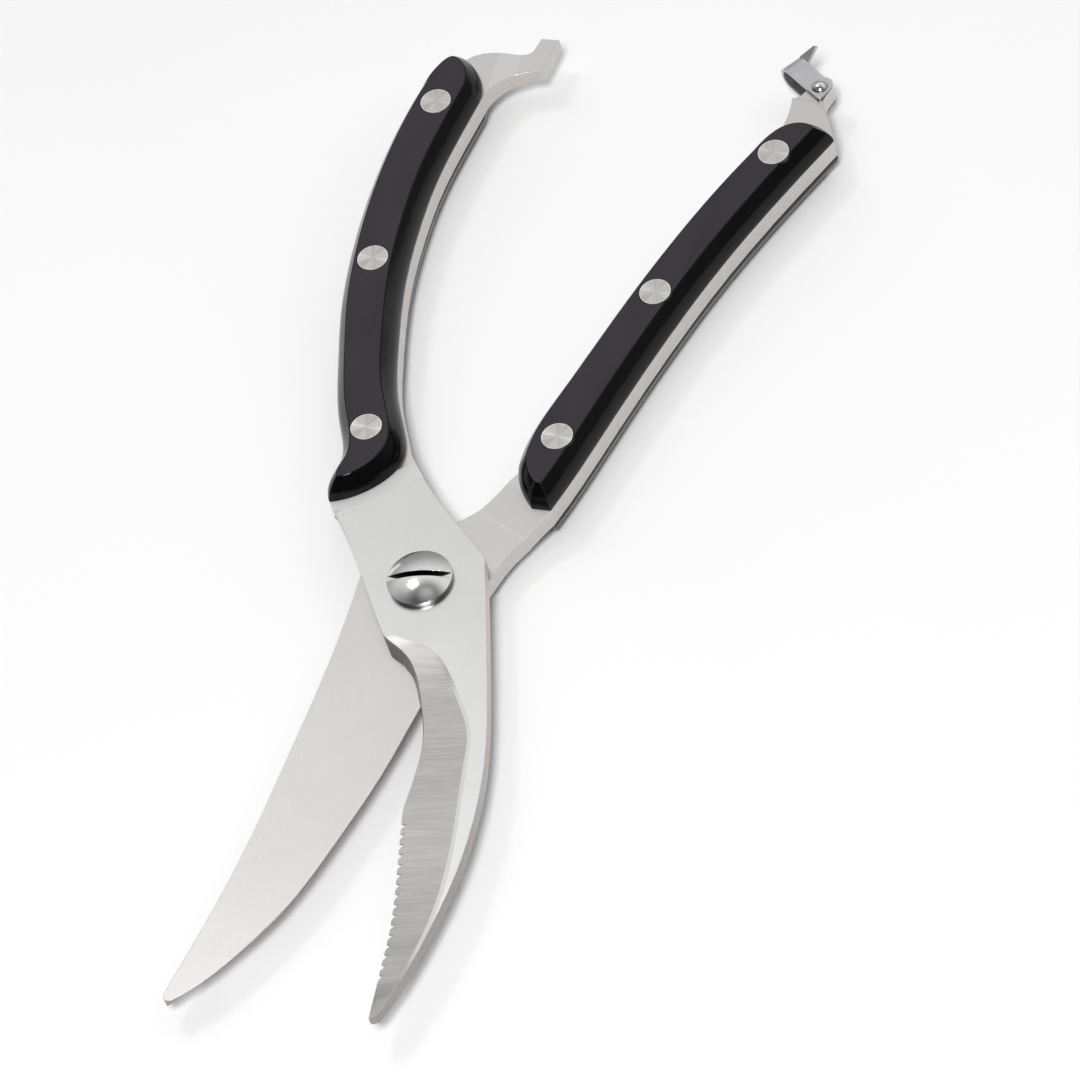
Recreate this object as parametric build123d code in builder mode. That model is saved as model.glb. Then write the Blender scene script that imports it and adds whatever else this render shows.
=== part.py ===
"""Poultry shears: two curved blades with riveted grips, a slotted pivot screw, a spring and a latch.

Millimetres, +Z up. The origin is on the pivot axis, in the plane of the grips' backs, on which the
shears lie. The handles run towards +Y and the blades towards -Y. The shears are modelled open, as
the spring holds them. The front half has the left handle and the right blade, seen from +Z.
"""
from build123d import *
from math import cos, radians, sin
import os

os.makedirs("parts", exist_ok=True)

# ---- heights, from the rest plane upwards ----
SCALE_T = 5.5                           # grip scale thickness
TANG_T = 4.4                            # steel between the two scales
BLADE_T = 4.0                           # each blade at the pivot
TIP_T = 2.9                             # each blade near its tip
SLIP = 0.03                             # half of the slip gap between the two blades
TANG_Z = SCALE_T                        # underside of both tangs
TANG_TOP = TANG_Z + TANG_T
TOP_Z = TANG_TOP + SCALE_T              # face of the front scales
MATE_Z = TANG_Z + TANG_T / 2            # plane in which the blades slide on each other
FRONT_Z = MATE_Z + BLADE_T              # outer face of the front blade at the pivot
REAR_Z = MATE_Z - BLADE_T               # outer face of the rear blade at the pivot
BEYOND = 160                            # longer than either half, for slabs that trim them

# ---- pivot ----
SHANK_R = 3.0
PIVOT_FIT = 0.05                        # running clearance on the radius, and of the other moving fits
SNUG = 0.02                             # clearance on the radius inside one half
HEAD_Z = FRONT_Z + SLIP                 # seat of the screw head, just clear of the front blade
HEAD_R = 6.75
HEAD_RIM = 1.1
HEAD_DOME = 1.5
SLOT_W = 1.3
SLOT_DEPTH = 1.5
SLOT_ANGLE = 11
SHANK_END_Z = 0.3
NUT_AF = 10
NUT_T = 2.6
WASHER_R = 5.6
WASHER_T = 0.6

# ---- opening spring, shut in between the blades ----
WELL_R = 5.6
WELL_DEPTH = 1.6
WIRE_R = 0.4
COIL_R = 4.4
COIL_TURNS = 2.25
COIL_GAP = 0.15                         # above and below the coil
LEG_TIP_R = 9.0                         # how far from the axis the legs reach
LEG_SLOT_W = 1.2
REAR_LEG_ANGLE = -100

# ---- opening stop: a lug on the front blade in an arc groove in the rear blade ----
CLOSE_ANGLE = 22.8                      # from open to shut
LUG_ANGLE = 182
LUG_R = 1.3
LUG_ORBIT = 9.2
LUG_H = 1.2
LUG_GAP = 0.15

# ---- grip rivets: a pin and a socket, with flush heads ----
RIVET_HEAD_R = 3.5
RIVET_HEAD_T = 1.3
RIVET_PIN_R = 1.5
RIVET_PIN_L = 12.0
RIVET_SOCKET_R = 2.2
RIVET_SOCKET_L = 12.7
RIVET_RIM = 0.15
FRONT_RIVETS = [(-31.8, 122.2), (-33.0, 78.4), (-21.2, 34.4)]
REAR_RIVETS = [(45.4, 115.2), (30.0, 75.7), (19.6, 36.5)]

# ---- grip scale side: height above the tang, and how far the side has come in ----
SCALE_SIDE = [(0.7, 0), (2.1, 0.35), (3.8, 1.25), (SCALE_T, 2.45)]
SCALE_RIM = 0.35

# ---- latch ----
LATCH_POS = (48.9, 138.1)
LATCH_ANGLE = 141.5                     # direction of the strap as modelled, from +X
KNOB_T = 3.8                            # steel between the strap's sides
STRAP_GAP = 4.0
STRAP_T = 0.75
STRAP_W = 4.6
STRAP_L = 8.5                           # from the rivet to the start of the bend
TAB_AT = 7.2                            # thumb tab, along the strap from the rivet
TAB_L = 4.0
TAB_W = 2.7
TAB_TIP = (0.35, 0.95)                  # its tip, along the strap from TAB_AT
TAB_TILT = 42
PIN_R = 1.2
PIN_HEAD_R = 1.8
PIN_HEAD_H = 0.9
FINGER_T = 3.5                          # the hook that the strap catches
FINGER_RUN = (-24.0, -19.0)             # where the arm thins down to the finger, in X
FINGER_TIP = 146.6                      # where its nose starts to thin, in Y

# ---- outlines, seen from +Z ----
FRONT_GRIP_INNER = [(-25.6, 18.3), (-21.8, 19.2), (-17.5, 22.1), (-14.6, 26.2), (-13.3, 31.6),
                    (-15.0, 38.0), (-18.6, 45.6), (-22.8, 59.6), (-26.1, 75.6), (-27.5, 92.0),
                    (-27.4, 105.0), (-26.1, 116.6), (-24.5, 127.0)]
FRONT_GRIP_END = [(-24.5, 127.0), (-24.9, 131.0), (-27.6, 135.6), (-32.2, 138.0), (-35.4, 135.2),
                  (-37.7, 128.2)]
FRONT_GRIP_OUTER = [(-37.7, 128.2), (-39.7, 116.2), (-40.7, 99.2), (-39.7, 80.2), (-37.5, 66.0),
                    (-34.3, 53.5), (-29.4, 38.2), (-26.4, 31.0), (-25.9, 26.5), (-26.6, 22.2),
                    (-25.6, 18.3)]
REAR_GRIP_OUTER = [(21.3, 21.7), (23.8, 30.0), (26.4, 40.0), (28.9, 50.0), (34.4, 70.0),
                   (41.0, 90.0), (49.2, 110.0), (55.5, 123.8)]
REAR_GRIP_END = [(55.5, 123.8), (50.5, 126.2), (45.5, 125.3), (41.6, 121.6), (39.0, 116.5)]
REAR_GRIP_INNER = [(39.0, 116.5), (34.6, 107.0), (27.4, 88.5), (21.0, 68.5), (15.2, 48.5),
                   (12.2, 36.5), (12.0, 30.5)]
REAR_GRIP_NECK = [(12.0, 30.5), (13.4, 26.6), (17.0, 22.1)]

# ---- steel ----
FRONT_NECK = 125.8                      # direction of the neck, from +X
FRONT_BEND = (25.2, 31.0)               # where the blade's plane ends and the tang's begins
REAR_NECK = 61.8
REAR_BEND = (21.6, 29.5)

# Stations along each grind: the edge (x, y, thickness left there) and the ridge (x, y).
FRONT_GRIND = [((-5.0, -14.5, 4.1), (-2.0, -12.4)), ((-1.2, -17.0, 3.8), (2.6, -14.0)),
               ((2.8, -20.0, 3.2), (7.9, -16.0)), ((6.3, -25.5, 1.9), (13.4, -22.0)),
               ((9.0, -31.8, 0.9), (18.6, -29.8)), ((10.8, -41.0, 0.45), (22.2, -41.0)),
               ((10.9, -52.0, 0.4), (24.0, -53.0)), ((13.6, -65.0, 0.4), (25.6, -66.0)),
               ((16.4, -80.0, 0.4), (25.5, -80.5)), ((17.6, -94.0, 0.4), (22.8, -94.5)),
               ((18.4, -104.0, 0.4), (20.0, -104.0))]
REAR_GRIND = [((9.3, -17.0, 4.1), (4.5, -15.0)), ((7.0, -28.6, 1.2), (-2.5, -28.0)),
              ((4.3, -43.2, 0.45), (-6.5, -43.8)), ((0.1, -59.0, 0.4), (-10.5, -59.8)),
              ((-5.3, -76.2, 0.4), (-14.5, -76.8)), ((-13.7, -91.2, 0.4), (-20.5, -91.8)),
              ((-23.0, -104.0, 0.4), (-25.5, -105.0))]
RIDGE_W = 1.2                           # steep band where the grind starts
RIDGE_DROP = 0.17                       # its share of the grind's depth
EDGE_SLOPE = 0.3                        # width of the sharpened bevel, as a share of its height
EDGE_T = 0.15                           # steel left at the very edge
TEETH = 16
TOOTH_PITCH = 2.35
TOOTH_START = 4.5                       # first notch, along the edge from the bend in the front edge
TOOTH_LENGTH = 1.3
TOOTH_DEPTH = 1.1
SERRATED_EDGE = [(10.9, -52.0), (13.6, -65.0), (16.4, -80.0), (17.6, -94.0), (18.0, -99.7)]


def draw(*runs):
    """Lines through runs of points: two points are a straight line, more are one smooth curve."""
    for run in runs:
        if len(run) == 2:
            Line(*run)
        else:
            Spline(*run)


def at_angle(angle, distance):
    """A point in plan at an angle and a distance from the pivot axis."""
    return (distance * cos(radians(angle)), distance * sin(radians(angle)))


def slab(neck, bend, outer_z, tip_z, mate_z):
    """The space between a half's two faces: thinner towards the tip, stepped at the neck."""
    plane = Plane(origin=(0, 0, 0), x_dir=(*at_angle(neck, 1), 0), z_dir=(*at_angle(neck - 90, 1), 0))
    near, far = bend
    outer = TANG_TOP if outer_z > mate_z else TANG_Z
    inner = TANG_Z if outer_z > mate_z else TANG_TOP
    with BuildPart() as space:
        with BuildSketch(plane):
            with BuildLine():
                Polyline((-105, mate_z), (near, mate_z), (far, inner), (BEYOND, inner), (BEYOND, outer),
                         (far, outer), (near, outer_z), (-15, outer_z), (-105, tip_z), close=True)
            make_face()
        extrude(amount=BEYOND, both=True)
    return space.part


def grind(stations, side):
    """The metal ground off a blade's outer face, from the cutting edge back to the ridge."""
    with BuildPart() as cut:
        for edge, ridge in stations:
            thin = (BLADE_T - TIP_T) * max(0, -ridge[1] - 15) / 85
            drop = BLADE_T - thin - edge[2]
            base = Vector(ridge[0], ridge[1], MATE_Z + side * (BLADE_T - thin))
            flat = Vector(edge[0] - ridge[0], edge[1] - ridge[1], 0)
            run = flat.length
            with BuildSketch(Plane(origin=base, x_dir=flat, z_dir=flat.cross(Vector(0, 0, side)))):
                with BuildLine():
                    Polyline((0, 0.1), (RIDGE_W, -RIDGE_DROP * drop), (run - EDGE_SLOPE * edge[2], -drop),
                             (run, -drop - edge[2] + EDGE_T), (run + 3, -drop - edge[2] + EDGE_T),
                             (run + 3, 3), (0, 3), close=True)
                make_face()
        loft()
    return cut.part


def inset(runs, distance):
    """The same runs of an anticlockwise outline, every point moved inwards by a distance."""
    ring = [Vector(*point) for run in runs for point in run[:-1]]
    moved = {}
    for i, here in enumerate(ring):
        before = (here - ring[i - 1]).normalized()
        after = (ring[(i + 1) % len(ring)] - here).normalized()
        along = (before + after) * 0.5
        inwards = Vector(-along.Y, along.X, 0) * (distance / along.length ** 2)
        moved[(here.X, here.Y)] = ((here + inwards).X, (here + inwards).Y)
    return [[moved[point] for point in run] for run in runs]


def grip(*runs):
    """A grip scale above its tang face: a low upright wall, then sides curving inwards.

    The wall also reaches below the face, and is cut back there to the shape of the steel.
    """
    with BuildPart() as blank:
        with BuildSketch(Plane.XY):
            with BuildLine():
                draw(*runs)
            make_face()
        extrude(amount=SCALE_SIDE[0][0])
        extrude(faces().sort_by(Axis.Z)[0], amount=TANG_T / 2)
        for height, shift in SCALE_SIDE:
            with BuildSketch(Plane.XY.offset(height)):
                with BuildLine():
                    draw(*inset(runs, shift))
                make_face()
        loft()
        fillet(blank.edges().group_by(Axis.Z)[-1], SCALE_RIM)
    return blank.part


def dome(radius, height):
    """A shallow round cap standing on the XY plane."""
    ball = (radius ** 2 + height ** 2) / (2 * height)
    with BuildPart() as cap:
        with Locations((0, 0, height - ball)):
            Sphere(ball)
        Box(3 * radius, 3 * radius, 2 * height, align=(Align.CENTER, Align.CENTER, Align.MIN),
            mode=Mode.INTERSECT)
    return cap.part


def rivet_holes(rivets, radius, low, high):
    """Round holes at the rivet places, from one height to another."""
    with Locations(*[(x, y, (low + high) / 2) for x, y in rivets]):
        Cylinder(radius, high - low, mode=Mode.SUBTRACT)


def spring_well(low, leg_angle):
    """The round well for the coil and the slot for its leg, cut upwards from a height."""
    with Locations((0, 0, low + WELL_DEPTH / 2)):
        Cylinder(WELL_R, WELL_DEPTH, mode=Mode.SUBTRACT)
    with Locations(Location((0, 0, low + WELL_DEPTH / 2), (0, 0, leg_angle))):
        with Locations((LEG_TIP_R / 2 + COIL_GAP, 0, 0)):
            Box(LEG_TIP_R, LEG_SLOT_W, WELL_DEPTH, mode=Mode.SUBTRACT)


# ---- front half: right blade and left tang, in one piece of steel ----
front_slab = slab(FRONT_NECK, FRONT_BEND, FRONT_Z, MATE_Z + TIP_T, MATE_Z + SLIP)
front_grind = grind(FRONT_GRIND, 1)
front_leg_angle = REAR_LEG_ANGLE + 360 * COIL_TURNS
serrated_edge = Spline(*SERRATED_EDGE)
finger_cheek = (TANG_T - FINGER_T) / 2

with BuildPart() as front_blade:
    with BuildSketch(Plane.XY):
        with BuildLine():
            draw([(18.0, -99.7), (19.0, -101.2), (20.6, -100.6)],
                 [(20.6, -100.6), (22.7, -93.9), (25.4, -81.0), (27.0, -68.0), (27.1, -56.0), (25.6, -42.0),
                  (22.5, -28.8), (18.1, -13.8), (15.1, -3.9), (12.3, 5.0)],
                 [(12.3, 5.0), (11.7, 7.0), (10.2, 8.7)],
                 [(10.2, 8.7), (2.6, 15.8), (-2.9, 21.1), (-8.1, 27.2), (-13.3, 34.6)],
                 [(-13.3, 34.6), (-15.9, 40.0), (-18.6, 45.6), (-22.8, 59.6), (-26.1, 75.6), (-27.5, 92.0),
                  (-27.4, 105.0), (-26.1, 116.6), (-24.4, 127.6)],
                 [(-24.4, 127.6), (-23.4, 131.2), (-20.8, 134.6), (-15.8, 137.2), (-13.2, 137.8)],
                 [(-13.2, 137.8), (-12.2, 147.2)],
                 [(-12.2, 147.2), (-15.8, 146.9)],
                 [(-15.8, 146.9), (-16.4, 144.7), (-17.0, 142.7), (-21.3, 141.6), (-26.5, 141.2),
                  (-30.6, 139.1)],
                 [(-30.6, 139.1), (-35.4, 135.2), (-37.7, 128.2)],
                 FRONT_GRIP_OUTER,
                 [(-25.6, 18.3), (-17.3, 7.0), (-7.3, -8.8), (-2.2, -16.4)],
                 [(-2.2, -16.4), (-1.2, -17.0), (0.9, -18.0)],
                 [(0.9, -18.0), (5.7, -24.7), (8.9, -31.5), (10.8, -41.0), (10.9, -52.0)],
                 SERRATED_EDGE)
        make_face()
    extrude(amount=TOP_Z)
    add(front_slab, mode=Mode.INTERSECT)
    add(front_grind, mode=Mode.SUBTRACT)
    for i in range(TEETH):
        share = (TOOTH_START + i * TOOTH_PITCH) / serrated_edge.length
        with BuildSketch(Plane(origin=serrated_edge @ share, x_dir=serrated_edge % share, z_dir=(0, 0, 1))):
            with BuildLine():
                Polyline((-TOOTH_LENGTH, -0.3), (TOOTH_LENGTH / 2, -0.3), (TOOTH_LENGTH / 2, 0),
                         (-TOOTH_LENGTH / 4, TOOTH_DEPTH), (-TOOTH_LENGTH / 2, 0), close=True)
            make_face()
        extrude(amount=TOP_Z, mode=Mode.SUBTRACT)
    with BuildSketch(Plane.XZ.offset(-130)):
        with BuildLine():
            Polyline((FINGER_RUN[0], TANG_TOP), (FINGER_RUN[1], TANG_TOP - finger_cheek),
                     (0, TANG_TOP - finger_cheek), (0, TOP_Z), (FINGER_RUN[0], TOP_Z), close=True)
        make_face()
        with BuildLine():
            Polyline((FINGER_RUN[0], TANG_Z), (FINGER_RUN[1], TANG_Z + finger_cheek),
                     (0, TANG_Z + finger_cheek), (0, 0), (FINGER_RUN[0], 0), close=True)
        make_face()
    extrude(amount=-30, mode=Mode.SUBTRACT)
    with BuildSketch(Plane.YZ):
        for side in (1, -1):
            face = MATE_Z + side * FINGER_T / 2
            with BuildLine():
                Polyline((FINGER_TIP, face), (FINGER_TIP + 1, face - side), (FINGER_TIP + 1, face + side),
                         (FINGER_TIP, face + side), close=True)
            make_face()
    extrude(amount=-30, mode=Mode.SUBTRACT)
    spring_well(MATE_Z, front_leg_angle)
    with Locations((0, 0, FRONT_Z)):
        Cylinder(SHANK_R + PIVOT_FIT, 2 * BLADE_T, mode=Mode.SUBTRACT)
    rivet_holes(FRONT_RIVETS, RIVET_SOCKET_R + SNUG, TANG_Z, TANG_TOP)
    with Locations((*at_angle(LUG_ANGLE, LUG_ORBIT), MATE_Z - LUG_H)):
        Cylinder(LUG_R, LUG_H + BLADE_T / 2, align=(Align.CENTER, Align.CENTER, Align.MIN))
front_blade.part.label = "front_blade"
export_step(front_blade.part, "parts/front_blade.step")

# ---- rear half: left blade and right tang, in one piece of steel ----
rear_slab = slab(REAR_NECK, REAR_BEND, REAR_Z, MATE_Z - TIP_T, MATE_Z - SLIP)
rear_grind = grind(REAR_GRIND, -1)

with BuildPart() as rear_blade:
    with BuildSketch(Plane.XY):
        with BuildLine():
            draw([(-24.3, -100.2), (-23.9, -101.6), (-22.4, -101.7)],
                 [(-22.4, -101.7), (-17.7, -97.0), (-10.7, -86.7), (-5.3, -76.2), (-1.5, -65.0), (1.9, -53.2),
                  (4.4, -43.0), (7.0, -28.6), (9.3, -16.0), (10.8, -4.0), (13.2, 6.8)],
                 [(13.2, 6.8), (15.8, 13.4), (18.2, 17.4), (21.3, 21.7)],
                 REAR_GRIP_OUTER,
                 [(55.5, 123.8), (54.0, 127.4), (51.8, 131.9), (50.6, 134.2), (50.6, 136.4), (51.3, 138.8),
                  (50.7, 140.8), (48.9, 141.4), (47.2, 140.5), (46.2, 138.2), (45.2, 136.0), (43.6, 134.8)],
                 [(43.6, 134.8), (43.9, 130.5), (43.4, 126.0), (42.6, 123.0)],
                 [(42.6, 123.0), (41.2, 120.6), (39.0, 116.5)],
                 REAR_GRIP_INNER,
                 [(12.0, 30.5), (8.6, 25.2), (4.9, 21.0), (0.9, 17.5), (-6.0, 13.2), (-12.0, 8.6), (-14.6, 1.0)],
                 [(-14.6, 1.0), (-14.8, -20.0), (-16.3, -42.0), (-18.7, -68.0), (-22.2, -89.5),
                  (-24.3, -100.2)])
        make_face()
    extrude(amount=TOP_Z)
    add(rear_slab, mode=Mode.INTERSECT)
    add(rear_grind, mode=Mode.SUBTRACT)
    with BuildSketch(Plane.XY) as recess:
        with BuildLine():
            draw([(40.0, 134.3), (47.6, 134.4), (50.2, 133.2), (51.9, 131.4), (54.0, 128.5)],
                 [(54.0, 128.5), (60.0, 128.5)], [(60.0, 128.5), (60.0, 146.0)],
                 [(60.0, 146.0), (40.0, 146.0)], [(40.0, 146.0), (40.0, 134.3)])
        make_face()
    extrude(amount=MATE_Z - KNOB_T / 2, mode=Mode.SUBTRACT)
    extrude(recess.sketch.moved(Location((0, 0, MATE_Z + KNOB_T / 2))), amount=TOP_Z, mode=Mode.SUBTRACT)
    spring_well(MATE_Z - WELL_DEPTH, REAR_LEG_ANGLE)
    with Locations((0, 0, REAR_Z)):
        Cylinder(SHANK_R + SNUG, 2 * BLADE_T, mode=Mode.SUBTRACT)
    rivet_holes(REAR_RIVETS, RIVET_SOCKET_R + SNUG, TANG_Z, TANG_TOP)
    rivet_holes([LATCH_POS], PIN_R + SNUG, TANG_Z, TANG_TOP)
    with BuildSketch(Plane.XY.offset(MATE_Z)):
        groove = CenterArc((0, 0), LUG_ORBIT, LUG_ANGLE - CLOSE_ANGLE, CLOSE_ANGLE, mode=Mode.PRIVATE)
        SlotArc(groove, 2 * (LUG_R + LUG_GAP))
    extrude(amount=-LUG_H - LUG_GAP, mode=Mode.SUBTRACT)
rear_blade.part.label = "rear_blade"
export_step(rear_blade.part, "parts/rear_blade.step")

# ---- grip scales, front and back of each handle ----
left_grip = grip(FRONT_GRIP_INNER, FRONT_GRIP_END, FRONT_GRIP_OUTER)
right_grip = grip(REAR_GRIP_OUTER, REAR_GRIP_END, REAR_GRIP_INNER, REAR_GRIP_NECK,
                  [REAR_GRIP_NECK[-1], REAR_GRIP_OUTER[0]])

with BuildPart() as left_grip_front:
    add(left_grip.moved(Location((0, 0, TANG_TOP))))
    add(front_slab, mode=Mode.SUBTRACT)
    rivet_holes(FRONT_RIVETS, RIVET_SOCKET_R + SNUG, TANG_TOP, TOP_Z)
    rivet_holes(FRONT_RIVETS, RIVET_HEAD_R + SNUG, TOP_Z - RIVET_HEAD_T, TOP_Z)
left_grip_front.part.label = "left_grip_front"
export_step(left_grip_front.part, "parts/left_grip_front.step")

with BuildPart() as left_grip_back:
    add(left_grip.mirror(Plane.XY).moved(Location((0, 0, TANG_Z))))
    add(front_slab, mode=Mode.SUBTRACT)
    rivet_holes(FRONT_RIVETS, RIVET_SOCKET_R + SNUG, 0, TANG_Z)
    rivet_holes(FRONT_RIVETS, RIVET_HEAD_R + SNUG, 0, RIVET_HEAD_T)
left_grip_back.part.label = "left_grip_back"
export_step(left_grip_back.part, "parts/left_grip_back.step")

with BuildPart() as right_grip_front:
    add(right_grip.moved(Location((0, 0, TANG_TOP))))
    add(rear_slab, mode=Mode.SUBTRACT)
    rivet_holes(REAR_RIVETS, RIVET_SOCKET_R + SNUG, TANG_TOP, TOP_Z)
    rivet_holes(REAR_RIVETS, RIVET_HEAD_R + SNUG, TOP_Z - RIVET_HEAD_T, TOP_Z)
right_grip_front.part.label = "right_grip_front"
export_step(right_grip_front.part, "parts/right_grip_front.step")

with BuildPart() as right_grip_back:
    add(right_grip.mirror(Plane.XY).moved(Location((0, 0, TANG_Z))))
    add(rear_slab, mode=Mode.SUBTRACT)
    rivet_holes(REAR_RIVETS, RIVET_SOCKET_R + SNUG, 0, TANG_Z)
    rivet_holes(REAR_RIVETS, RIVET_HEAD_R + SNUG, 0, RIVET_HEAD_T)
right_grip_back.part.label = "right_grip_back"
export_step(right_grip_back.part, "parts/right_grip_back.step")

# ---- grip rivets: three in each handle, a pin from the front and a socket from the back ----
for side, rivets in (("left", FRONT_RIVETS), ("right", REAR_RIVETS)):
    for place, (x, y) in zip(("end", "middle", "neck"), rivets):
        with BuildPart() as rivet_pin:
            with Locations((x, y, TOP_Z)):
                Cylinder(RIVET_HEAD_R, RIVET_HEAD_T, align=(Align.CENTER, Align.CENTER, Align.MAX))
            chamfer(rivet_pin.edges().group_by(Axis.Z)[-1], RIVET_RIM)
            with Locations((x, y, TOP_Z - RIVET_HEAD_T)):
                Cylinder(RIVET_PIN_R, RIVET_PIN_L, align=(Align.CENTER, Align.CENTER, Align.MAX))
            chamfer(rivet_pin.edges().group_by(Axis.Z)[0], RIVET_RIM)
        rivet_pin.part.label = f"rivet_pin_{side}_{place}"
        export_step(rivet_pin.part, f"parts/rivet_pin_{side}_{place}.step")

        with BuildPart() as rivet_socket:
            with Locations((x, y, 0)):
                Cylinder(RIVET_HEAD_R, RIVET_HEAD_T, align=(Align.CENTER, Align.CENTER, Align.MIN))
            chamfer(rivet_socket.edges().group_by(Axis.Z)[0], RIVET_RIM)
            with Locations((x, y, RIVET_HEAD_T)):
                Cylinder(RIVET_SOCKET_R, RIVET_SOCKET_L, align=(Align.CENTER, Align.CENTER, Align.MIN))
            with Locations((x, y, RIVET_HEAD_T)):
                Cylinder(RIVET_PIN_R + SNUG, RIVET_SOCKET_L, align=(Align.CENTER, Align.CENTER, Align.MIN),
                         mode=Mode.SUBTRACT)
        rivet_socket.part.label = f"rivet_socket_{side}_{place}"
        export_step(rivet_socket.part, f"parts/rivet_socket_{side}_{place}.step")

# ---- pivot screw: slotted domed head in front, shank through both blades ----
with BuildPart() as pivot_screw:
    with Locations((0, 0, SHANK_END_Z)):
        Cylinder(SHANK_R, HEAD_Z - SHANK_END_Z, align=(Align.CENTER, Align.CENTER, Align.MIN))
    chamfer(pivot_screw.edges().group_by(Axis.Z)[0], 0.3)
    with Locations((0, 0, HEAD_Z)):
        Cylinder(HEAD_R, HEAD_RIM, align=(Align.CENTER, Align.CENTER, Align.MIN))
    add(dome(HEAD_R, HEAD_DOME).moved(Location((0, 0, HEAD_Z + HEAD_RIM))))
    with Locations(Location((0, 0, HEAD_Z + HEAD_RIM + HEAD_DOME - SLOT_DEPTH), (0, 0, SLOT_ANGLE))):
        Box(3 * HEAD_R, SLOT_W, 2 * SLOT_DEPTH, align=(Align.CENTER, Align.CENTER, Align.MIN),
            mode=Mode.SUBTRACT)
pivot_screw.part.label = "pivot_screw"
export_step(pivot_screw.part, "parts/pivot_screw.step")

with BuildPart() as pivot_washer:
    with Locations((0, 0, REAR_Z - WASHER_T)):
        Cylinder(WASHER_R, WASHER_T, align=(Align.CENTER, Align.CENTER, Align.MIN))
        Cylinder(SHANK_R + SNUG, 3 * WASHER_T, mode=Mode.SUBTRACT)
pivot_washer.part.label = "pivot_washer"
export_step(pivot_washer.part, "parts/pivot_washer.step")

nut_seat = REAR_Z - WASHER_T

with BuildPart() as pivot_nut:
    with BuildSketch(Plane.XY.offset(nut_seat)):
        RegularPolygon(NUT_AF / 2, 6, major_radius=False)
        Circle(SHANK_R + SNUG, mode=Mode.SUBTRACT)
    extrude(amount=-NUT_T)
    with BuildSketch(Plane.XZ):
        with BuildLine():
            Polyline((NUT_AF / 2 - 0.2, nut_seat - NUT_T), (NUT_AF / 2 + 1, nut_seat - NUT_T),
                     (NUT_AF / 2 + 1, nut_seat - NUT_T + 0.7), close=True)
        make_face()
    revolve(axis=Axis.Z, mode=Mode.SUBTRACT)
pivot_nut.part.label = "pivot_nut"
export_step(pivot_nut.part, "parts/pivot_nut.step")

# ---- opening spring: a coil round the shank with a leg into each blade ----
coil_low = MATE_Z - WELL_DEPTH + COIL_GAP + WIRE_R
coil_high = MATE_Z + WELL_DEPTH - COIL_GAP - WIRE_R
coil_pitch = (coil_high - coil_low) / COIL_TURNS

coil_start = Plane(origin=(0, 0, coil_low), x_dir=(*at_angle(REAR_LEG_ANGLE, 1), 0), z_dir=(0, 0, 1))

with BuildPart() as torsion_spring:
    with BuildLine(coil_start):
        coil = Helix(coil_pitch, coil_high - coil_low, COIL_R)
    with BuildSketch(Plane(origin=coil @ 0, z_dir=coil % 0)):
        Circle(WIRE_R)
    sweep()
    for angle, height in ((REAR_LEG_ANGLE, coil_low), (front_leg_angle, coil_high)):
        with Locations((*at_angle(angle, COIL_R), height)):
            Sphere(WIRE_R)
        leg_start = Plane(origin=(*at_angle(angle, COIL_R), height), z_dir=(*at_angle(angle, 1), 0))
        with BuildSketch(leg_start):
            Circle(WIRE_R)
        extrude(amount=LEG_TIP_R - COIL_R)
torsion_spring.part.label = "torsion_spring"
export_step(torsion_spring.part, "parts/torsion_spring.step")

# ---- latch: a folded strap swinging on a rivet at the end of the right tang ----
strap_out = STRAP_GAP / 2 + STRAP_T
strap_plane = Plane(origin=(*LATCH_POS, MATE_Z), x_dir=(*at_angle(LATCH_ANGLE, 1), 0), z_dir=(0, 0, 1))
tab_up = strap_plane.y_dir * sin(radians(TAB_TILT)) + Vector(0, 0, cos(radians(TAB_TILT)))
tab_plane = Plane(strap_plane.from_local_coords((TAB_AT, -STRAP_W / 2, strap_out)),
                  x_dir=strap_plane.x_dir, z_dir=tab_up)

with BuildPart() as latch_strap:
    with BuildSketch(Plane(strap_plane.origin, x_dir=strap_plane.x_dir, z_dir=-strap_plane.y_dir)):
        with BuildLine():
            Polyline((STRAP_L, strap_out), (-4, strap_out), (-4, STRAP_GAP / 2), (STRAP_L, STRAP_GAP / 2))
            ThreePointArc((STRAP_L, STRAP_GAP / 2), (STRAP_L + STRAP_GAP / 2, 0), (STRAP_L, -STRAP_GAP / 2))
            Polyline((STRAP_L, -STRAP_GAP / 2), (-4, -STRAP_GAP / 2), (-4, -strap_out),
                     (STRAP_L, -strap_out))
            ThreePointArc((STRAP_L, -strap_out), (STRAP_L + strap_out, 0), (STRAP_L, strap_out))
        make_face()
    extrude(amount=STRAP_W / 2, both=True)
    with BuildSketch(strap_plane):
        with BuildLine():
            FilletPolyline((-1.4, -STRAP_W / 2), (-2.8, STRAP_W / 2), (12, STRAP_W / 2), (12, -STRAP_W / 2),
                           radius=0.7, close=True)
        make_face()
    extrude(amount=10, both=True, mode=Mode.INTERSECT)
    with Locations(strap_plane.location):
        Cylinder(PIN_R + PIVOT_FIT, 20, mode=Mode.SUBTRACT)
    with BuildSketch(tab_plane):
        with BuildLine():
            Polyline((0, 0.3), (TAB_W, 0.3), (TAB_W, 0), (TAB_TIP[1], -TAB_L + 0.3), (TAB_TIP[0], -TAB_L),
                     (0, 0), close=True)
        make_face()
    extrude(amount=-STRAP_T)
latch_strap.part.label = "latch_strap"
export_step(latch_strap.part, "parts/latch_strap.step")

pin_face = strap_out + PIVOT_FIT
pin_head = dome(PIN_HEAD_R, PIN_HEAD_H)

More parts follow.
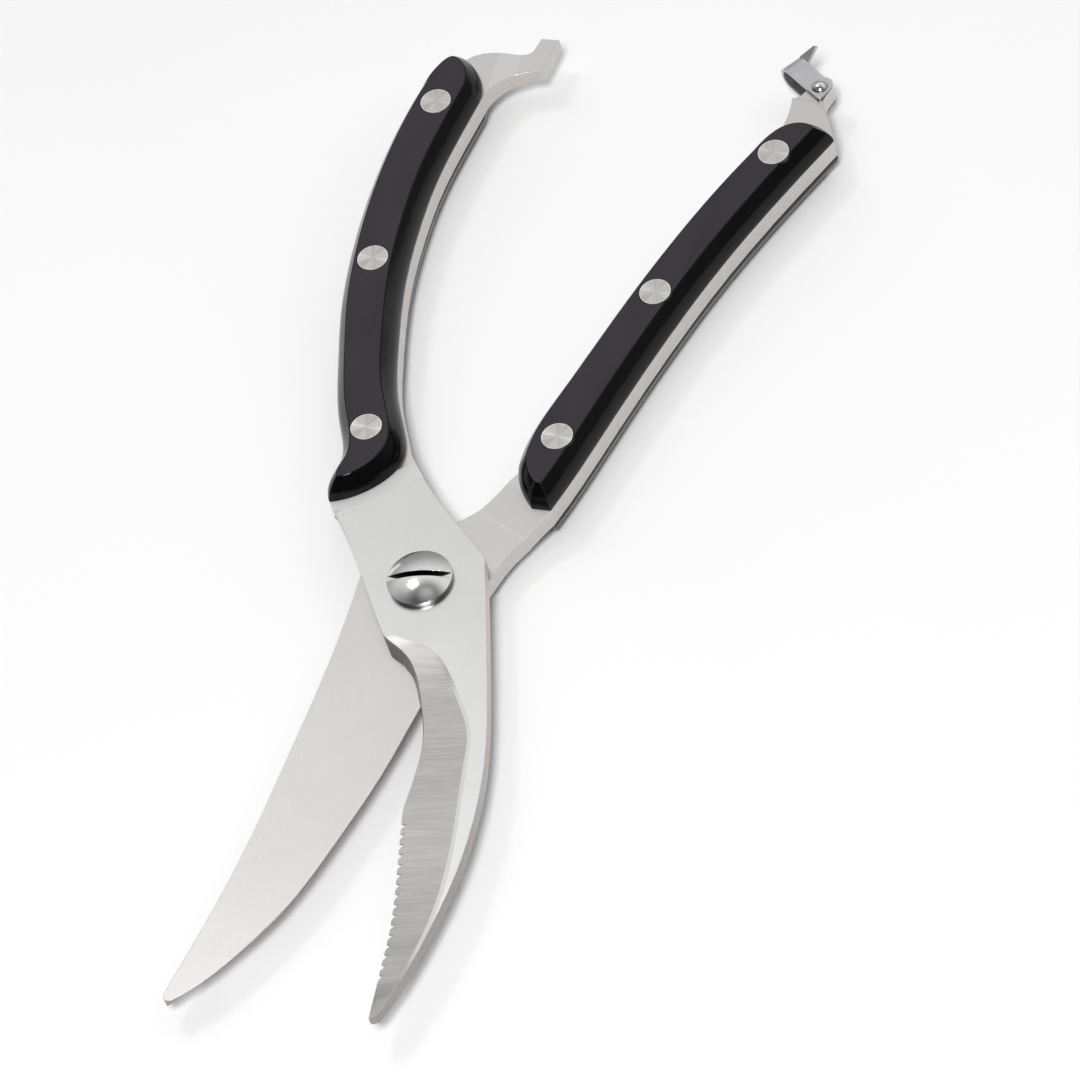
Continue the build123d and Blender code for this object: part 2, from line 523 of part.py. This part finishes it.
with BuildPart() as latch_rivet:
    with Locations((*LATCH_POS, MATE_Z)):
        Cylinder(PIN_R, 2 * pin_face)
    add(pin_head.moved(Location((*LATCH_POS, MATE_Z + pin_face))))
    add(pin_head.mirror(Plane.XY).moved(Location((*LATCH_POS, MATE_Z - pin_face))))
latch_rivet.part.label = "latch_rivet"
export_step(latch_rivet.part, "parts/latch_rivet.step")
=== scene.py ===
"""Poultry shears open on a pale studio floor: materials, light and camera around the CAD frame."""
import math

import bpy
from mathutils import Matrix, Vector


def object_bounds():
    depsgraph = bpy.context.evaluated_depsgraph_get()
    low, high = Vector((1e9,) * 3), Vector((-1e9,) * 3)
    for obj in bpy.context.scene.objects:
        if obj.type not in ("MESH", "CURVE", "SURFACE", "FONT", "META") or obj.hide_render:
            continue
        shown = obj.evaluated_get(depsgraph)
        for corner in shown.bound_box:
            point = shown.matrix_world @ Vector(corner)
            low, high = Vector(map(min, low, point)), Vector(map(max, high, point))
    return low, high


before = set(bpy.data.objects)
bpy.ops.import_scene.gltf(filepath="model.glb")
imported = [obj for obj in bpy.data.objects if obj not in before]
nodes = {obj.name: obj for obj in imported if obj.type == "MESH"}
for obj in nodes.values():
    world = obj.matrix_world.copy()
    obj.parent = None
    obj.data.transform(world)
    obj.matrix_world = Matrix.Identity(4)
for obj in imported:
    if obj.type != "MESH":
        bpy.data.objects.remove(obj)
cad_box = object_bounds()


# ---------------------------------------------------------------- node helpers
class Graph:
    """A small wrapper that adds nodes to one material and links them by value."""

    def __init__(self, name):
        self.material = bpy.data.materials.new(name)
        self.material.use_nodes = True
        self.tree = self.material.node_tree
        self.shader = self.tree.nodes["Principled BSDF"]

    def put(self, socket, value):
        if isinstance(value, bpy.types.NodeSocket):
            self.tree.links.new(value, socket)
        elif isinstance(value, tuple) and len(value) == 3 and socket.type == "RGBA":
            socket.default_value = (*value, 1)
        else:
            socket.default_value = value

    def add(self, kind, inputs=None, **settings):
        node = self.tree.nodes.new(kind)
        for key, value in settings.items():
            setattr(node, key, value)
        for key, value in (inputs or {}).items():
            self.put(node.inputs[key], value)
        return node

    def math(self, operation, a, b=0.0, c=0.0, clamp=False):
        node = self.add("ShaderNodeMath", {0: a, 1: b, 2: c}, operation=operation, use_clamp=clamp)
        return node.outputs[0]

    def place(self):
        return self.add("ShaderNodeTexCoord").outputs["Object"]

    def own_box(self):
        return self.add("ShaderNodeTexCoord").outputs["Generated"]

    def split(self, vector):
        return self.add("ShaderNodeSeparateXYZ", {0: vector}).outputs

    def scaled(self, vector, scale, turn=0.0):
        node = self.add("ShaderNodeMapping", {"Vector": vector, "Scale": scale}, vector_type="POINT")
        if turn:
            first = self.add("ShaderNodeMapping", {"Vector": vector, "Rotation": (0, 0, math.radians(turn))})
            self.put(node.inputs["Vector"], first.outputs[0])
        return node.outputs[0]

    def noise(self, vector, scale, detail=3.0, roughness=0.55):
        node = self.add("ShaderNodeTexNoise", {"Vector": vector, "Scale": scale, "Detail": detail,
                                               "Roughness": roughness})
        return node.outputs["Fac"]

    def ramp(self, value, low, high, at_low, at_high):
        """A straight, clamped map of low..high onto at_low..at_high."""
        node = self.add("ShaderNodeMapRange", {"Value": value, 1: low, 2: high, 3: at_low, 4: at_high})
        node.clamp = True
        return node.outputs[0]

    def mix(self, share, a, b):
        """Colour a where share is 0, colour b where it is 1."""
        node = self.add("ShaderNodeMix", data_type="RGBA")
        self.put(node.inputs[0], share)
        self.put(node.inputs[6], a)
        self.put(node.inputs[7], b)
        return node.outputs[2]

    def facing_up(self):
        """How steeply the surface faces along the pivot axis, 0 on a side and 1 on a flat face."""
        normal = self.add("ShaderNodeTexCoord").outputs["Normal"]
        return self.math("ABSOLUTE", self.split(normal)[2])

    def edge(self, radius, low=0.02, high=0.25):
        """1 along sharp edges, 0 away from them."""
        rounded = self.add("ShaderNodeBevel", {"Radius": radius}, samples=6).outputs[0]
        flat = self.add("ShaderNodeNewGeometry").outputs["Normal"]
        dot = self.add("ShaderNodeVectorMath", {0: rounded, 1: flat}, operation="DOT_PRODUCT")
        return self.ramp(self.math("SUBTRACT", 1.0, dot.outputs["Value"]), low, high, 0.0, 1.0)

    def hollow(self, distance, low=0.25, high=0.75):
        """1 deep in slots and corners, 0 on open surfaces."""
        open_share = self.add("ShaderNodeAmbientOcclusion", {"Distance": distance}, samples=8).outputs["AO"]
        return self.ramp(open_share, low, high, 1.0, 0.0)

    def bump(self, height, strength, distance, normal=None):
        node = self.add("ShaderNodeBump", {"Height": height, "Strength": strength, "Distance": distance})
        if normal is not None:
            self.put(node.inputs["Normal"], normal)
        return node.outputs[0]

    def rounded(self, radius):
        return self.add("ShaderNodeBevel", {"Radius": radius}, samples=6).outputs[0]

    def set(self, **values):
        for key, value in values.items():
            self.put(self.shader.inputs[key.replace("_", " ")], value)
        return self.material


MM = 0.001
WARM = (1.02, 0.985, 0.99)              # tint of the ground bevels
NECK_Y = (14 * MM, 16 * MM)             # the necks' slopes begin here
RIDGE_Y = (-94 * MM, -86 * MM)          # the painted highlight band along the ridge fades out here
SPINE_Y = (-70 * MM, 0.0)               # painted shade: the side faces go from dark to light here
STRAP_SHADE_Z = (6.4 * MM, 8.0 * MM)          # painted shade: the latch strap is painted dark below this height


# ---------------------------------------------------------------- materials
def blade_steel(name, tint, lines_turn, grind_dark, tang_y, neck_painted_light):
    """Satin stainless steel: mottled flats, fine lines across the ground bevel, grainy sides.

    The neck, ridge and side tones are base colours set by place and by slope: painted light on the neck, a
    painted highlight along the ridge and painted shade on the sides.
    """
    g = Graph(name)
    where = g.place()
    up = g.facing_up()
    y = g.split(where)[1]
    flat = g.ramp(up, 0.990, 0.999, 0.0, 1.0)
    side = g.ramp(up, 0.75, 0.35, 0.0, 1.0)
    across = g.noise(g.scaled(where, (90.0, 4200.0, 300.0), lines_turn), 1.0, 2.0, 0.6)
    across_wide = g.noise(g.scaled(where, (30.0, 620.0, 60.0), lines_turn), 1.0, 3.0, 0.55)
    satin = g.noise(g.scaled(where, (2600.0, 160.0, 300.0), lines_turn), 1.0, 2.0, 0.6)
    mottle = g.noise(where, 55.0, 3.0, 0.6)
    grain = g.noise(where, 2400.0, 2.0, 0.7)
    cloud = g.noise(where, 18.0, 2.0, 0.5)
    lines = g.math("MULTIPLY_ADD", across, 0.6, g.math("MULTIPLY", across_wide, 0.4))
    face = g.mix(g.ramp(mottle, 0.35, 0.65, 0.0, 1.0), tint, tuple(c * 0.955 for c in tint))
    face = g.mix(g.ramp(satin, 0.3, 0.7, 0.0, 0.35), face, tuple(c * 0.93 for c in tint))
    bevel = g.mix(g.ramp(lines, 0.38, 0.62, 0.0, 1.0), tuple(c * grind_dark * k for c, k in zip(tint, WARM)),
                  tuple(c * k for c, k in zip(tint, WARM)))
    neck = g.math("MULTIPLY", g.ramp(y, *NECK_Y, 0.0, 1.0), g.math("SUBTRACT", 1.0, flat))
    steel = g.mix(flat, bevel, face)
    # Painted light: the neck slope is painted lighter than the tint by the neck factor.
    steel = g.mix(neck, steel, tuple(c * neck_painted_light for c in tint))
    # Painted highlight: a lighter band along the steep ridge of the bevel.
    ridge = g.math("MULTIPLY", g.ramp(up, 0.90, 0.945, 1.0, 0.0), g.math("SUBTRACT", 1.0, side))
    ridge = g.math("MULTIPLY", g.ramp(y, *RIDGE_Y, 0.0, 1.0), ridge)
    steel = g.mix(ridge, steel, tuple(c * 1.25 for c in tint))
    # Painted shade: the side faces are painted darker towards the tip, with real grain on top.
    along = g.ramp(y, *SPINE_Y, 0.0, 1.0)
    edge_dark = g.mix(along, (0.30, 0.28, 0.26), (0.54, 0.515, 0.49))
    edge_light = g.mix(along, (0.44, 0.41, 0.385), (0.68, 0.65, 0.625))
    edge_grey = g.mix(g.ramp(grain, 0.3, 0.7, 0.0, 1.0), edge_dark, edge_light)
    steel = g.mix(side, steel, edge_grey)
    tang = g.ramp(y, tang_y - 0.002, tang_y + 0.002, 0.0, 0.5)
    steel = g.mix(g.math("MULTIPLY", tang, flat), steel, (0.60, 0.57, 0.55))
    # Lighter edges: part edge wear, part painted highlight.
    edge_wear_and_highlight = g.edge(0.35 * MM)
    steel = g.mix(g.math("MULTIPLY", edge_wear_and_highlight, 0.35), steel, (0.86, 0.86, 0.85))
    rough = g.math("MULTIPLY_ADD", g.ramp(cloud, 0.3, 0.7, -0.03, 0.04), 1.0,
                   g.math("MULTIPLY_ADD", side, 0.12, g.math("MULTIPLY_ADD", satin, 0.08, 0.27)))
    bent = g.math("MULTIPLY", neck, g.math("SUBTRACT", 1.0, side))
    rough = g.math("MULTIPLY_ADD", bent, 0.35, rough)
    ground = g.math("SUBTRACT", g.math("SUBTRACT", 1.0, g.math("MAXIMUM", flat, side)), bent, clamp=True)
    rough = g.math("MULTIPLY_ADD", ground, 0.16, rough)
    metal = g.math("MULTIPLY_ADD", g.math("MAXIMUM", bent, ridge), -0.6, 1.0)
    height = g.mix(g.math("MAXIMUM", flat, neck), lines, satin)
    height = g.mix(side, height, grain)
    normal = g.bump(height, 0.16, 0.02 * MM, g.rounded(0.18 * MM))
    return g.set(Base_Color=steel, Metallic=metal, Roughness=rough, Normal=normal)


def grip_plastic(name):
    """Black moulded plastic: polished sides, flat faces faintly matt with fine handling marks and a painted
    sheen, edges lightened as part wear, part painted highlight.
    """
    g = Graph(name)
    where = g.place()
    up = g.facing_up()
    flat = g.ramp(up, 0.93, 0.995, 0.0, 1.0)
    fine = g.noise(where, 3800.0, 2.0, 0.7)
    smear = g.noise(g.scaled(where, (160.0, 40.0, 90.0)), 1.0, 3.0, 0.6)
    scuff = g.noise(g.scaled(where, (900.0, 110.0, 300.0), 24), 1.0, 2.0, 0.75)
    scratches = g.ramp(scuff, 0.66, 0.74, 0.0, 1.0)
    body = g.mix(g.ramp(smear, 0.3, 0.7, 0.0, 1.0), (0.024, 0.021, 0.027), (0.034, 0.030, 0.038))
    # Painted sheen: the flat faces are painted lighter than the near-black sides.
    body = g.mix(flat, (0.0025, 0.0025, 0.003), body)
    # Lighter edges: part edge wear, part painted highlight.
    edge_wear_and_highlight = g.edge(0.45 * MM)
    body = g.mix(g.math("MULTIPLY", edge_wear_and_highlight, 0.35), body, (0.09, 0.09, 0.095))
    rough = g.math("MULTIPLY_ADD", flat, g.ramp(smear, 0.3, 0.7, 0.26, 0.34), 0.10)
    rough = g.math("MULTIPLY_ADD", scratches, 0.06, rough)
    rough = g.math("MULTIPLY_ADD", fine, 0.04, rough)
    height = g.math("MULTIPLY_ADD", scratches, -0.5, g.math("MULTIPLY", fine, flat))
    normal = g.bump(height, 0.12, 0.02 * MM, g.rounded(0.25 * MM))
    return g.set(Base_Color=body, Roughness=rough, Normal=normal, Specular_IOR_Level=0.2)


def turned_steel(name, tint, rings, roughness, anisotropy):
    """Steel faced on a lathe: lines round its middle, painted wedges of sheen, a painted highlight on the
    rim and a ring of painted shade at its edge.
    """
    g = Graph(name)
    own = g.split(g.own_box())
    du = g.math("SUBTRACT", own[0], 0.5)
    dv = g.math("SUBTRACT", own[1], 0.5)
    radius = g.math("SQRT", g.math("ADD", g.math("MULTIPLY", du, du), g.math("MULTIPLY", dv, dv)))
    turn = g.math("ARCTAN2", dv, du)
    spun = g.add("ShaderNodeCombineXYZ", {0: g.math("MULTIPLY", radius, rings),
                                          1: g.math("MULTIPLY", turn, 0.7)})
    line = g.noise(spun.outputs[0], 1.0, 3.0, 0.6)
    speck = g.noise(g.place(), 900.0, 2.0, 0.6)
    # Painted reflection: darker wedges round the middle stand in for the turned face's sheen.
    sector = g.add("ShaderNodeCombineXYZ", {0: g.math("DIVIDE", du, radius), 1: g.math("DIVIDE", dv, radius),
                                            2: g.noise(g.place(), 60.0, 1.0)})
    wedge = g.noise(sector.outputs[0], 1.9, 2.0, 0.6)
    steel = g.mix(g.ramp(line, 0.3, 0.7, 0.0, 1.0), tuple(c * 0.86 for c in tint), tint)
    steel = g.mix(g.ramp(wedge, 0.38, 0.62, 0.0, 0.55), steel, tuple(c * 0.62 for c in tint))
    steel = g.mix(g.ramp(speck, 0.62, 0.72, 0.0, 0.25), steel, tuple(c * 0.7 for c in tint))
    # Painted highlight: a lighter ring on the rim.
    steel = g.mix(g.ramp(radius, 0.43, 0.47, 0.0, 0.5), steel, (0.84, 0.84, 0.83))
    # Painted shade: a near-black ring at the outer edge.
    steel = g.mix(g.ramp(radius, 0.468, 0.478, 0.0, 0.9), steel, (0.02, 0.02, 0.02))
    rough = g.math("MULTIPLY_ADD", line, 0.10, roughness)
    normal = g.bump(line, 0.22, 0.03 * MM, g.rounded(0.12 * MM))
    spin = g.add("ShaderNodeTangent", direction_type="RADIAL", axis="Z")
    g.put(g.shader.inputs["Tangent"], spin.outputs[0])
    return g.set(Base_Color=steel, Metallic=1.0, Roughness=rough, Normal=normal, Anisotropic=anisotropy)


def polished_steel(name, tint):
    """Polished screw and rivet heads: smears, a few fine scratches, painted shade on the flanks and in the
    slot, edges lightened as part wear, part painted highlight.
    """
    g = Graph(name)
    where = g.place()
    smear = g.noise(where, 260.0, 3.0, 0.6)
    fine = g.noise(g.scaled(where, (400.0, 2600.0, 900.0), 30), 1.0, 2.0, 0.7)
    steel = g.mix(g.ramp(smear, 0.3, 0.7, 0.0, 0.6), tint, tuple(c * 0.86 for c in tint))
    # Lighter edges: part edge wear, part painted highlight.
    edge_wear_and_highlight = g.edge(0.3 * MM)
    steel = g.mix(g.math("MULTIPLY", edge_wear_and_highlight, 0.5), steel, (0.9, 0.9, 0.9))
    # Painted shade: the flanks are painted darker the more they slope.
    up = g.facing_up()
    steel = g.mix(g.ramp(up, 0.35, 0.85, 0.75, 0.0), steel, (0.10, 0.10, 0.10))
    # Painted shade: slots and corners are painted near black.
    steel = g.mix(g.math("MULTIPLY", g.hollow(2.2 * MM, 0.35, 0.8), 0.97), steel, (0.01, 0.01, 0.01))
    rough = g.math("MULTIPLY_ADD", smear, 0.10, g.ramp(fine, 0.55, 0.7, 0.07, 0.13))
    normal = g.bump(fine, 0.05, 0.02 * MM, g.rounded(0.15 * MM))
    return g.set(Base_Color=steel, Metallic=1.0, Roughness=rough, Normal=normal)


def latch_steel(name):
    """Tumbled strip steel: bluish grey, edges lightened as part wear, part painted highlight, faint drag
    lines, painted shade inside and below.
    """
    g = Graph(name)
    where = g.place()
    drag = g.noise(g.scaled(where, (260.0, 2400.0, 500.0), -141), 1.0, 2.0, 0.65)
    cloud = g.noise(where, 240.0, 3.0, 0.6)
    steel = g.mix(g.ramp(cloud, 0.3, 0.7, 0.0, 1.0), (0.47, 0.465, 0.49), (0.57, 0.565, 0.59))
    steel = g.mix(g.ramp(drag, 0.35, 0.65, 0.0, 0.4), steel, (0.41, 0.405, 0.43))
    # Lighter edges: part edge wear, part painted highlight.
    edge_wear_and_highlight = g.edge(0.35 * MM)
    steel = g.mix(g.math("MULTIPLY", edge_wear_and_highlight, 0.5), steel, (0.8, 0.8, 0.82))
    # Painted shade: the inside of the strap is painted near black.
    steel = g.mix(g.hollow(3.0 * MM, 0.35, 0.75), steel, (0.045, 0.04, 0.037))
    # Painted shade: the strap is painted darker towards its bottom.
    steel = g.mix(g.ramp(g.split(where)[2], *STRAP_SHADE_Z, 0.9, 0.0), steel, (0.17, 0.15, 0.135))
    rough = g.math("MULTIPLY_ADD", cloud, 0.12, 0.24)
    normal = g.bump(g.math("MULTIPLY_ADD", drag, 0.5, cloud), 0.15, 0.03 * MM, g.rounded(0.18 * MM))
    return g.set(Base_Color=steel, Metallic=0.7, Roughness=rough, Normal=normal)


def drawn_wire(name):
    """Spring wire: dark drawn steel with lengthwise marks and a trace of oil."""
    g = Graph(name)
    where = g.place()
    marks = g.noise(where, 1500.0, 3.0, 0.7)
    oil = g.noise(where, 320.0, 2.0, 0.5)
    steel = g.mix(g.ramp(marks, 0.3, 0.7, 0.0, 1.0), (0.20, 0.20, 0.21), (0.36, 0.36, 0.37))
    rough = g.ramp(oil, 0.3, 0.7, 0.18, 0.38)
    return g.set(Base_Color=steel, Metallic=1.0, Roughness=rough, Normal=g.bump(marks, 0.2, 0.02 * MM))


finishes = {
    "front_blade": blade_steel("front blade steel", (0.66, 0.66, 0.655), 0, 0.80, 0.026, 1.22),
    "rear_blade": blade_steel("rear blade steel", (0.61, 0.595, 0.59), -20, 0.86, 0.020, 1.0),
    "grip": grip_plastic("grip plastic"),
    "rivet": turned_steel("rivet steel", (0.66, 0.65, 0.62), 55.0, 0.20, 0.7),
    "nut": turned_steel("nut steel", (0.56, 0.56, 0.55), 30.0, 0.28, 0.4),
    "screw": polished_steel("screw steel", (0.74, 0.74, 0.73)),
    "latch": latch_steel("latch steel"),
    "wire": drawn_wire("spring wire"),
}
finish_of = {"front_blade": "front_blade", "rear_blade": "rear_blade", "pivot_screw": "screw",
             "latch_rivet": "screw", "pivot_nut": "nut", "pivot_washer": "nut",
             "torsion_spring": "wire", "latch_strap": "latch"}
for name, node in nodes.items():
    key = finish_of.get(name, "grip" if "grip" in name else "rivet")
    node.data.materials.clear()
    node.data.materials.append(finishes[key])


# ---------------------------------------------------------------- floor
g = Graph("floor")
where = g.place()
grain = g.noise(where, 9.0, 4.0, 0.5)
g.set(Base_Color=g.mix(grain, (0.93, 0.93, 0.93), (0.96, 0.96, 0.96)),
      Roughness=g.ramp(grain, 0.3, 0.7, 0.75, 0.85),
      Normal=g.bump(g.noise(where, 700.0, 2.0), 0.03, 0.1 * MM))
mesh = bpy.data.meshes.new("floor")
mesh.from_pydata([(-4, -4, 0), (4, -4, 0), (4, 4, 0), (-4, 4, 0)], [], [(0, 1, 2, 3)])
floor = bpy.data.objects.new("floor", mesh)
floor.location.z = cad_box[0][2] - 0.00005
floor.data.materials.append(g.material)
bpy.context.scene.collection.objects.link(floor)


# ---------------------------------------------------------------- light
def softbox(name, centre, aim, size, power, colour=(1, 1, 1)):
    lamp = bpy.data.lights.new(name, "AREA")
    lamp.shape = "RECTANGLE"
    lamp.size, lamp.size_y = size
    lamp.energy = power
    lamp.color = colour
    holder = bpy.data.objects.new(name, lamp)
    holder.location = centre
    holder.rotation_euler = (Vector(aim) - Vector(centre)).to_track_quat("-Z", "Y").to_euler()
    bpy.context.scene.collection.objects.link(holder)


softbox("key", (0.45, -1.1, 1.9), (0, 0, 0), (0.5, 0.5), 34)
softbox("left", (-1.5, 0.95, 0.5), (0, 0, 0), (0.9, 0.22), 0.4)
softbox("top", (-0.8, 0.56, 1.95), (0, 0, 0), (0.34, 0.34), 4)

# Bright at the far side and overhead, dark at the near side: polished steel shows both.
world = bpy.data.worlds.new("studio")
world.use_nodes = True
sky = world.node_tree
put = sky.nodes.new
direction = put("ShaderNodeSeparateXYZ")
sky.links.new(put("ShaderNodeTexCoord").outputs["Generated"], direction.inputs[0])


def band(source, *stops):
    """A grey level for each value of one direction component."""
    shade = put("ShaderNodeValToRGB")
    sky.links.new(source, shade.inputs[0])
    for at, grey in stops:
        stop = shade.color_ramp.elements.new(at) if at else shade.color_ramp.elements[0]
        stop.position = at
        stop.color = (grey, grey, grey, 1)
    return shade.outputs[0]


depth = put("ShaderNodeMapRange")
sky.links.new(direction.outputs[1], depth.inputs[0])
depth.inputs[1].default_value = -1.0
both = put("ShaderNodeMix")
both.data_type = "RGBA"
both.blend_type = "MULTIPLY"
both.inputs[0].default_value = 1.0
sky.links.new(band(direction.outputs[2], (0.0, 0.30), (0.35, 0.42), (0.55, 0.70), (0.68, 0.90), (0.88, 0.95),
                   (0.97, 0.35)), both.inputs[6])
sky.links.new(band(depth.outputs[0], (0.0, 0.16), (0.42, 0.24), (0.60, 0.80), (0.70, 1.0)), both.inputs[7])
sky.links.new(both.outputs[2], sky.nodes["Background"].inputs["Color"])
sky.nodes["Background"].inputs["Strength"].default_value = 1.0
bpy.context.scene.world = world
bpy.context.scene.view_settings.view_transform = "Standard"

# ---------------------------------------------------------------- camera
seat = Vector((0.40807, -0.65149, 0.9395))
aim = Vector((0.02335, 0.01028, 0.0154))
backward = (seat - aim).normalized()
right = Vector((-0.0929, 0.7908, 0.6050)).cross(backward).normalized()
upward = backward.cross(right)
lens = bpy.data.cameras.new("camera")
lens.sensor_width = 36
lens.lens = 200
lens.clip_end = 20
camera = bpy.data.objects.new("camera", lens)
camera.matrix_world = Matrix.Translation(seat) @ Matrix((right, upward, backward)).transposed().to_4x4()
bpy.context.scene.collection.objects.link(camera)
bpy.context.scene.camera = camera
